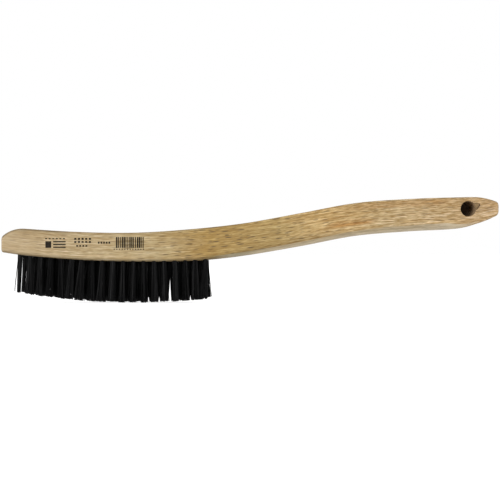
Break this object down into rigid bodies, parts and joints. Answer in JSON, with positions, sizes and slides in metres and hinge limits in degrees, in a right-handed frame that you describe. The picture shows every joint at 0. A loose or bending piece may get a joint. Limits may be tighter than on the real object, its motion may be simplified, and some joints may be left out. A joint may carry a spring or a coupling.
{
  "type": "wire scratch brush",
  "caption": "Hand wire scratch brush: a curved one-piece beech handle and block with a hanging hole, and three staggered rows of dark steel wire tufts stapled into blind holes.",
  "frame": {"origin": "centre of the hanging hole, halfway across the blank's width", "axes": "+X along the handle towards its tip, +Y across the blank along the hanging hole, +Z away from the bristles"},
  "size_m": [0.3556, 0.0222, 0.0757],
  "materials": {
    "beech": "satin",
    "tempered_wire": "satin",
    "staple_steel": "satin"
  },
  "bodies": {
    "root": {"handle": "beech", "staples": "staple_steel", "tuft_front_01": "tempered_wire", "tuft_front_02": "tempered_wire", "tuft_front_03": "tempered_wire", "tuft_front_04": "tempered_wire", "tuft_front_05": "tempered_wire", "tuft_front_06": "tempered_wire", "tuft_front_07": "tempered_wire", "tuft_front_08": "tempered_wire", "tuft_front_09": "tempered_wire", "tuft_front_10": "tempered_wire", "tuft_front_11": "tempered_wire", "tuft_front_12": "tempered_wire", "tuft_front_13": "tempered_wire", "tuft_front_14": "tempered_wire", "tuft_front_15": "tempered_wire", "tuft_front_16": "tempered_wire", "tuft_front_17": "tempered_wire", "tuft_front_18": "tempered_wire", "tuft_front_19": "tempered_wire", "tuft_middle_01": "tempered_wire", "tuft_middle_02": "tempered_wire", "tuft_middle_03": "tempered_wire", "tuft_middle_04": "tempered_wire", "tuft_middle_05": "tempered_wire", "tuft_middle_06": "tempered_wire", "tuft_middle_07": "tempered_wire", "tuft_middle_08": "tempered_wire", "tuft_middle_09": "tempered_wire", "tuft_middle_10": "tempered_wire", "tuft_middle_11": "tempered_wire", "tuft_middle_12": "tempered_wire", "tuft_middle_13": "tempered_wire", "tuft_middle_14": "tempered_wire", "tuft_middle_15": "tempered_wire", "tuft_middle_16": "tempered_wire", "tuft_middle_17": "tempered_wire", "tuft_middle_18": "tempered_wire", "tuft_back_01": "tempered_wire", "tuft_back_02": "tempered_wire", "tuft_back_03": "tempered_wire", "tuft_back_04": "tempered_wire", "tuft_back_05": "tempered_wire", "tuft_back_06": "tempered_wire", "tuft_back_07": "tempered_wire", "tuft_back_08": "tempered_wire", "tuft_back_09": "tempered_wire", "tuft_back_10": "tempered_wire", "tuft_back_11": "tempered_wire", "tuft_back_12": "tempered_wire", "tuft_back_13": "tempered_wire", "tuft_back_14": "tempered_wire", "tuft_back_15": "tempered_wire", "tuft_back_16": "tempered_wire", "tuft_back_17": "tempered_wire", "tuft_back_18": "tempered_wire", "tuft_back_19": "tempered_wire"}
  },
  "joints": []
}
